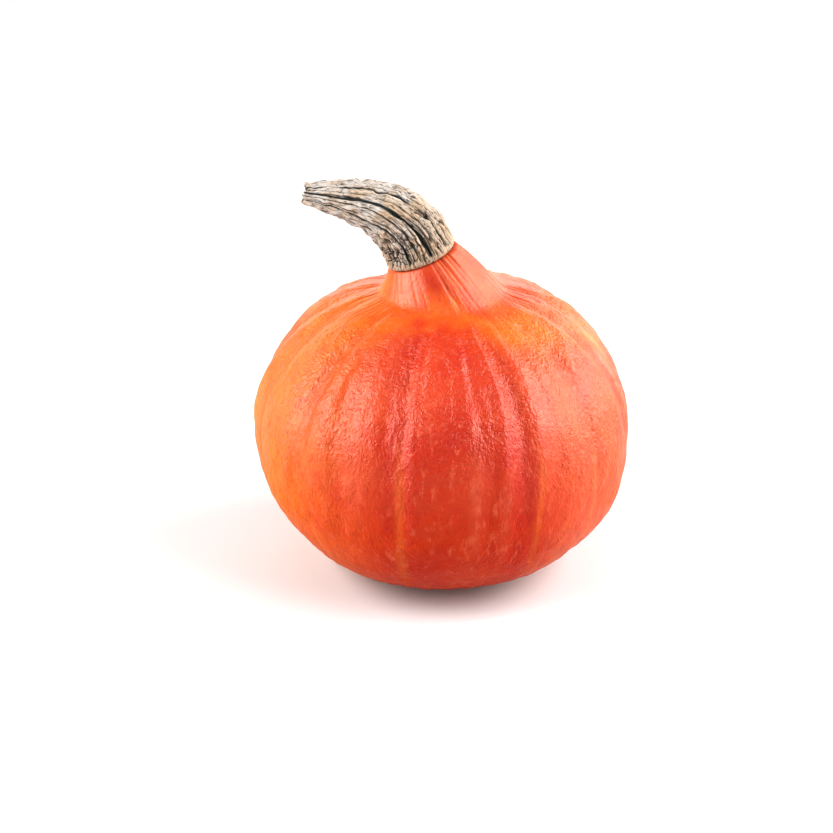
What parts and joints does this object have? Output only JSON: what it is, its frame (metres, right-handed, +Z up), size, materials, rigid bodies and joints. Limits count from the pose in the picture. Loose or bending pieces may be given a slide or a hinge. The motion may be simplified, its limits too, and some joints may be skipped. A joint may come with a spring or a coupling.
{
  "type": "kabocha squash",
  "caption": "Round orange-red winter squash with shallow furrows, a short leaning neck and a bent, dried corky stem. Rests on a small flat foot.",
  "frame": {"origin": "on the surface that the squash rests on, under the middle of its body", "axes": "+Z up from the flat foot to the stem; -Y is the front, the side that the picture shows; the stem bends over towards -X"},
  "size_m": [0.1675, 0.1684, 0.1784],
  "materials": {
    "skin": "satin",
    "cork": "matte"
  },
  "bodies": {
    "root": {"squash_fruit": "skin", "squash_stem": "cork"}
  },
  "joints": []
}
